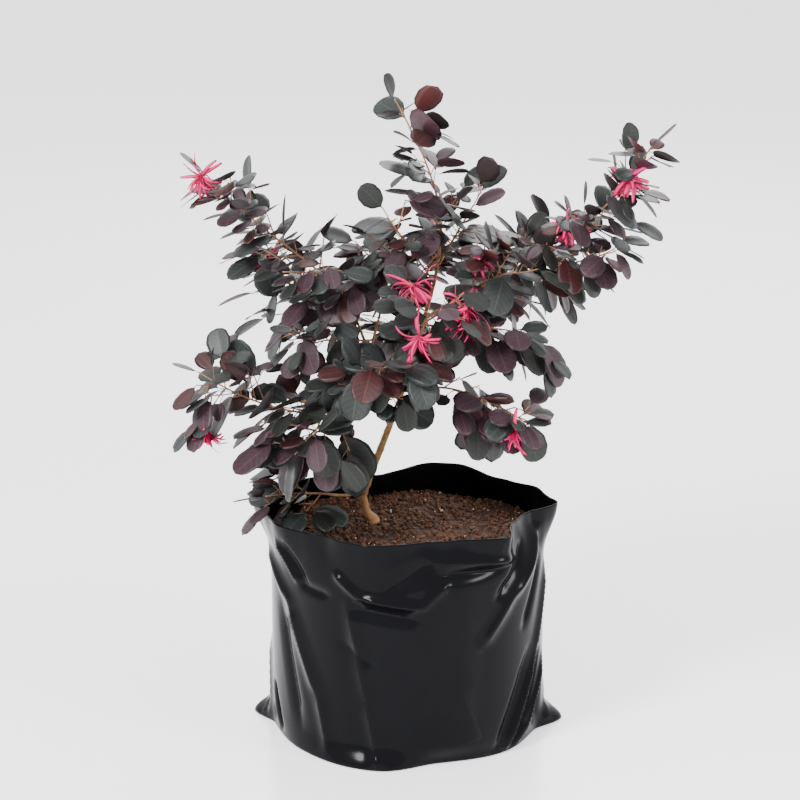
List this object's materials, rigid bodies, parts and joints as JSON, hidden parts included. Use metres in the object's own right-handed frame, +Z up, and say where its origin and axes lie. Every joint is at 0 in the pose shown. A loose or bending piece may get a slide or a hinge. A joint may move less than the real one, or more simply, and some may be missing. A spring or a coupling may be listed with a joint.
{
  "type": "potted chinese fringe flower",
  "caption": "Young evergreen shrub with small oval purple-green leaves and pink strap-petalled flowers, growing in a filled black film nursery bag.",
  "frame": {"origin": "centre of the bag's flat underside", "axes": "+Z up, -Y towards the picture's viewer, +X to the viewer's right"},
  "size_m": [0.338, 0.2229, 0.4609],
  "materials": {
    "film": "thin glossy black film with soft creases",
    "soil": "loose brown potting soil with pale specks",
    "bark": "tan brown young bark with fine relief",
    "leaf": "slate green and plum oval leaves with fine veins",
    "petal": "bright pink strap petals"
  },
  "bodies": {
    "root": {"bag": "film", "bough_back": "bark", "bough_back_left": "bark", "bough_back_right": "bark", "bough_foot": "bark", "bough_front": "bark", "bough_front_low": "bark", "bough_leader": "bark", "bough_left_arm": "bark", "bough_left_low": "bark", "bough_left_rise": "bark", "bough_right": "bark", "bough_right_low": "bark", "foliage_back": "leaf", "foliage_back_left": "leaf", "foliage_back_low": "leaf", "foliage_back_right": "leaf", "foliage_crown": "leaf", "foliage_crown_left": "leaf", "foliage_foot": "leaf", "foliage_front": "leaf", "foliage_front_low": "leaf", "foliage_leader": "leaf", "foliage_left_arm": "leaf", "foliage_left_inner": "leaf", "foliage_left_low": "leaf", "foliage_left_mid": "leaf", "foliage_left_near": "leaf", "foliage_left_rise": "leaf", "foliage_right_arm": "leaf", "foliage_right_inner": "leaf", "foliage_right_low": "leaf", "foliage_right_lower": "leaf", "foliage_right_mid": "leaf", "soil": "soil", "trunk": "bark"}
  },
  "joints": []
}
